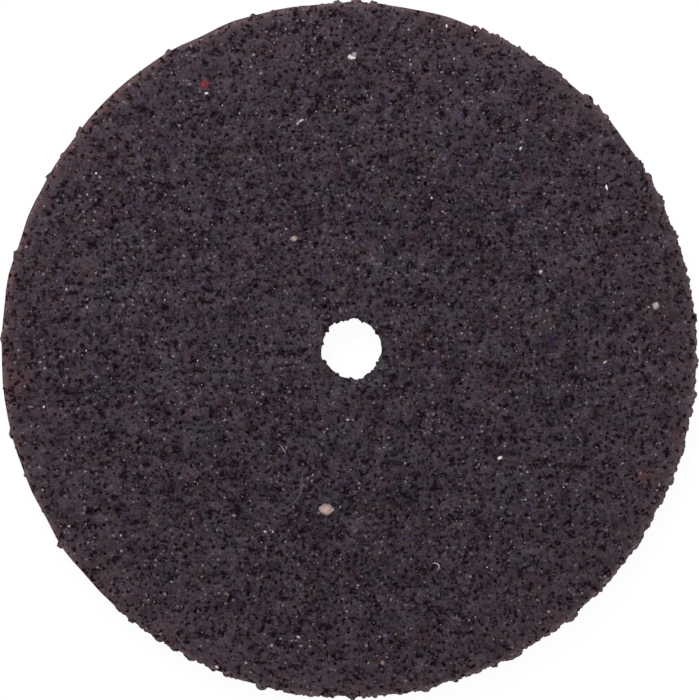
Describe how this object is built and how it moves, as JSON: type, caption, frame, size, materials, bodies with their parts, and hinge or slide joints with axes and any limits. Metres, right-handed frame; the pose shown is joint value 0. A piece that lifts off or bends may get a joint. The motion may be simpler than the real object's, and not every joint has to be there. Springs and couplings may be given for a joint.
{
  "type": "rotary tool cut-off wheel",
  "caption": "Thin round abrasive disc with flat faces, a gritty rim and a small central bore, clamped on a mandrel to cut metal.",
  "frame": {"origin": "on the axis of the bore, in the plane of the lower face", "axes": "+Z along the bore from the lower face to the upper face; +Y towards the upper side of the wheel as seen from above, with +X to the right"},
  "size_m": [0.024, 0.0241, 0.001],
  "materials": {
    "bonded_abrasive": "dark purplish grey grit in a matte resin bond, with a few pale and tan grains"
  },
  "bodies": {
    "root": {"abrasive_disc": "bonded_abrasive"}
  },
  "joints": []
}
